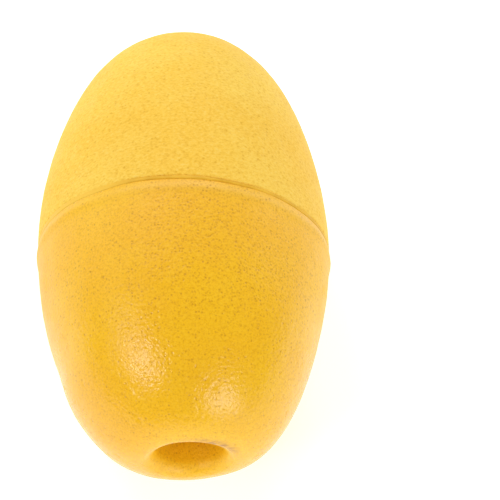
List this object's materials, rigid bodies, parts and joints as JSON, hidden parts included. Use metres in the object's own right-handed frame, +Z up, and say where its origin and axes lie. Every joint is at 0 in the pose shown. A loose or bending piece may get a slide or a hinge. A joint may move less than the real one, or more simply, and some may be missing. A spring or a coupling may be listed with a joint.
{
  "type": "bobber float",
  "caption": "Oval foam fishing float with a straight rope bore along its axis, rounded mouths, and a bonded joint round its middle.",
  "frame": {"origin": "middle of the float, on the axis of the rope bore; the joint lies 4.8 mm in front of it", "axes": "+Y along the rope bore from the front mouth to the rear mouth, +Z up with the float lying on its side, +X to the right"},
  "size_m": [0.08, 0.1274, 0.08],
  "materials": {
    "front_foam": "closed-cell foam with a smooth moulded skin, satin",
    "rear_foam": "closed-cell foam with a finely rippled and pitted skin, matte",
    "adhesive": "dried contact adhesive, amber, dull gloss"
  },
  "bodies": {
    "root": {"front_half": "front_foam", "rear_half": "rear_foam", "bond_film": "adhesive"}
  },
  "joints": []
}
